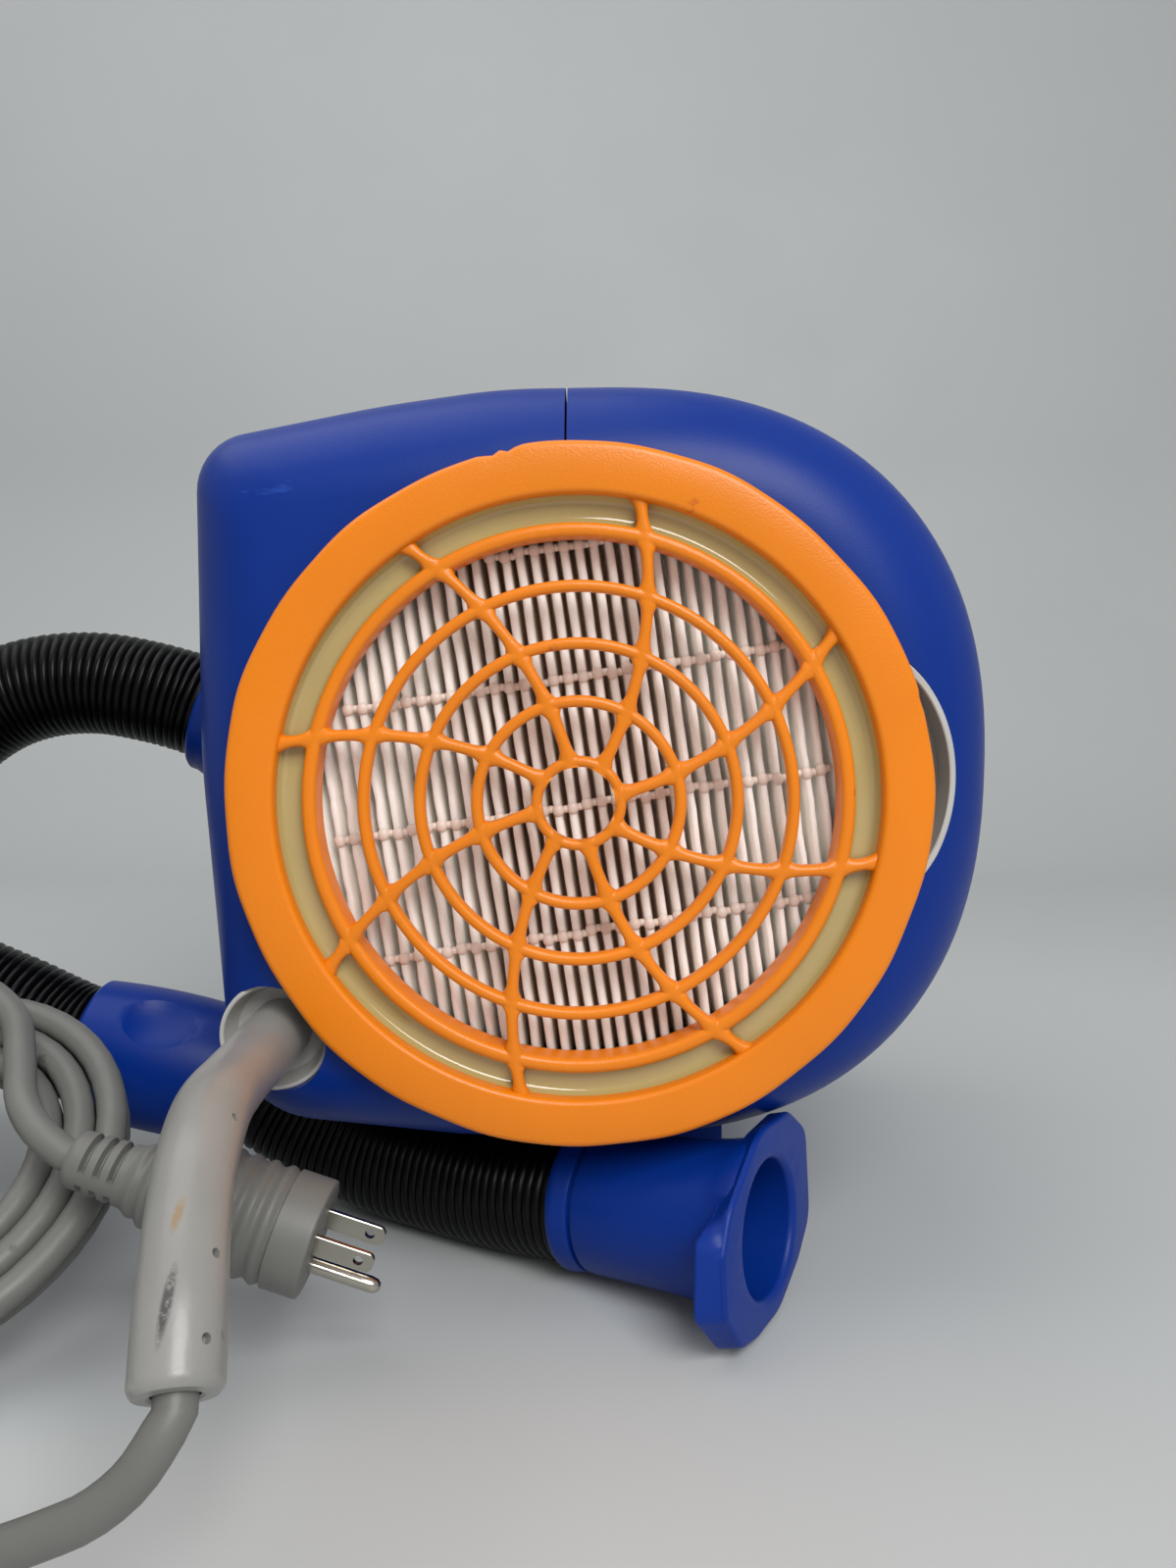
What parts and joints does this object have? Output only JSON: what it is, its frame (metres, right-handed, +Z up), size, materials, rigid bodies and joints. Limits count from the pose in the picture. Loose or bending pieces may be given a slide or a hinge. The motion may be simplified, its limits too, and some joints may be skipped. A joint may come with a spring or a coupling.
{
  "type": "pet dryer",
  "caption": "Warm-air dryer: rounded blower case on a low base, round swirl-spoked filter cover, long ribbed hose with grip and flanged nozzle, and a coiled mains cord with plug.",
  "frame": {"origin": "under the middle of the case, its outlet spigot and its rear controls, at the foot of the feet", "axes": "+X to the right seen from the filter cover, +Y from the filter cover to the controls, +Z up"},
  "size_m": [0.754, 0.4375, 0.2972],
  "materials": {
    "blue_plastic": "satin moulded",
    "orange_rubber": "matt moulded",
    "tan_resin": "glossy cast resin",
    "filter_paper": "pleated paper",
    "grey_plastic": "satin moulded",
    "grey_vinyl": "matt moulded",
    "sleeve_vinyl": "satin",
    "black_hose": "satin ribbed",
    "black_foam": "foam",
    "black_rubber": "matt",
    "black_plastic": "satin",
    "nickel": "plated",
    "steel": "plain",
    "heater_wire": "oxidised",
    "mica": "pressed sheet",
    "board_green": "lacquered",
    "lamp_red": "clear tinted",
    "lamp_green": "clear tinted"
  },
  "bodies": {
    "case": {"left_shell": "blue_plastic", "right_shell": "blue_plastic", "base_plinth": "blue_plastic", "foot_front_left": "black_rubber", "foot_front_right": "black_rubber", "foot_rear_left": "black_rubber", "foot_rear_right": "black_rubber", "case_screw_1": "steel", "case_screw_2": "steel", "case_screw_3": "steel", "case_screw_4": "steel", "finger_cup": "grey_plastic", "gland_flange": "grey_plastic", "bend_relief": "sleeve_vinyl", "filter_seat": "grey_plastic", "inlet_plate": "black_plastic", "volute": "black_plastic", "motor_plate": "steel", "motor_can": "steel", "heater_duct": "steel", "heater_frame": "mica", "heater_coil": "heater_wire", "thermal_cutout": "steel", "outlet_spigot": "grey_plastic", "control_panel": "grey_plastic", "switch_bezel": "black_plastic", "control_board": "board_green", "indicator_lamp_1": "lamp_green", "indicator_lamp_2": "lamp_green", "indicator_lamp_3": "lamp_red", "terminal_block": "mica", "mains_lead": "grey_vinyl", "hose_cuff": "blue_plastic", "hose": "black_hose", "hose_grip": "blue_plastic", "nozzle": "blue_plastic", "power_cord_run": "grey_vinyl", "power_cord_coil": "grey_vinyl", "power_cord_lead": "grey_vinyl", "cord_tie": "black_rubber", "plug_body": "grey_vinyl", "plug_blade_left": "nickel", "plug_blade_right": "nickel", "plug_ground_pin": "nickel"},
    "filter_cartridge": {"grille_frame": "orange_rubber", "potting_ring": "tan_resin", "pleat_pack": "filter_paper", "filter_gasket": "black_foam"},
    "rotor": {"impeller": "steel", "motor_shaft": "steel"},
    "power_rocker": {"power_rocker": "black_plastic"},
    "temperature_knob": {"temperature_knob": "black_plastic", "knob_spindle": "steel"}
  },
  "joints": [
    {"name": "cartridge_slide", "type": "slide", "parent": "case", "child": "filter_cartridge", "axis": [0, -1, 0], "range_m": [0, 0.055]},
    {"name": "rotor_spin", "type": "hinge", "parent": "case", "child": "rotor", "pos_m": [0.016, 0.00435, 0.138], "axis": [0, 1, 0], "continuous": true},
    {"name": "rocker_tilt", "type": "hinge", "parent": "case", "child": "power_rocker", "pos_m": [0.039, 0.12065, 0.148], "axis": [-1, 0, 0], "range_deg": [0, 10]},
    {"name": "knob_turn", "type": "hinge", "parent": "case", "child": "temperature_knob", "pos_m": [0.069, 0.12465, 0.196], "axis": [0, 1, 0], "range_deg": [0, 135]}
  ]
}
